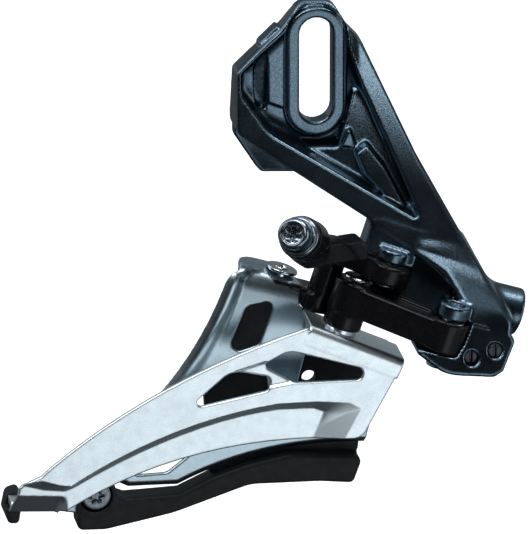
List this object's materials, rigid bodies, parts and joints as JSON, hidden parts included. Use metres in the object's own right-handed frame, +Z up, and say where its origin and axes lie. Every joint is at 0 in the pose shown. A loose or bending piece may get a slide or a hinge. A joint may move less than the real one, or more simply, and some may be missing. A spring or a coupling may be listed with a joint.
{
  "type": "front derailleur",
  "caption": "Side-swing front derailleur with a slotted cast bracket, two black links, a pressed metal chain cage and a plastic skid plate.",
  "frame": {"origin": "centre of the mounting slot, on the flat rear face that bears on the frame", "axes": "+X bicycle forward, +Y towards the bicycle's left side along the mounting bolt, +Z up along the slot"},
  "size_m": [0.1094, 0.0383, 0.1092],
  "materials": {
    "bracket_paint": "dark grey satin paint with a fine metallic speckle",
    "link_paint": "gloss black paint",
    "pin_steel": "polished plated steel",
    "spring_steel": "drawn wire",
    "screw_steel": "black plated steel",
    "bush_bronze": "plain bronze",
    "bolt_steel": "dark polished steel",
    "outer_cage_metal": "silver satin with a fine speckle",
    "inner_cage_metal": "satin plated steel",
    "skid_plastic": "moulded black plastic",
    "skid_screw_steel": "dull plated steel"
  },
  "bodies": {
    "bracket": {"mount_bracket": "bracket_paint", "outer_link_pin": "pin_steel", "inner_link_pin": "pin_steel", "return_spring": "spring_steel"},
    "low_screw": {"low_limit_screw": "screw_steel"},
    "high_screw": {"high_limit_screw": "screw_steel"},
    "outer_link_arm": {"outer_link": "link_paint", "outer_link_front_bush": "bush_bronze", "outer_link_rear_bush": "bush_bronze"},
    "inner_link_arm": {"inner_link": "link_paint", "inner_link_front_bush": "bush_bronze", "inner_link_rear_bush": "bush_bronze", "cable_bolt": "bolt_steel", "cable_washer": "bolt_steel"},
    "cage": {"outer_cage_plate": "outer_cage_metal", "inner_cage_plate": "inner_cage_metal", "outer_cage_pin": "pin_steel", "outer_pin_spacer": "pin_steel", "inner_cage_pin": "pin_steel", "inner_pin_washer": "pin_steel", "cage_rivets": "pin_steel", "tail_rivet": "pin_steel", "skid_plate": "skid_plastic", "skid_plate_screw": "skid_screw_steel", "tail_bumper": "skid_plastic"}
  },
  "joints": [
    {"name": "outer_swing", "type": "hinge", "parent": "bracket", "child": "outer_link_arm", "pos_m": [0.0223, -0.0323, -0.05014], "axis": [0.309, 0, 0.9511], "range_deg": [0, 37], "stiffness_Nm_per_rad": 0.3, "springref_deg": -57.3, "deforming": ["return_spring"]},
    {"name": "cage_swing", "type": "hinge", "parent": "outer_link_arm", "child": "cage", "pos_m": [0.00423, -0.022, -0.04427], "axis": [0.309, 0, 0.9511], "range_deg": [-37, 0]},
    {"name": "inner_swing", "type": "hinge", "parent": "bracket", "child": "inner_link_arm", "pos_m": [0.00984, -0.0216, -0.0461], "axis": [0.309, 0, 0.9511], "range_deg": [0, 37]},
    {"name": "low_screw_travel", "type": "slide", "parent": "bracket", "child": "low_screw", "axis": [0, -1, 0], "range_m": [0, 0.002]},
    {"name": "high_screw_travel", "type": "slide", "parent": "bracket", "child": "high_screw", "axis": [0, -1, 0], "range_m": [0, 0.002]}
  ],
  "couplings": [
    {"joint": "cage_swing", "follows": "outer_swing", "ratio": -1},
    {"joint": "inner_swing", "follows": "outer_swing", "ratio": 1}
  ]
}
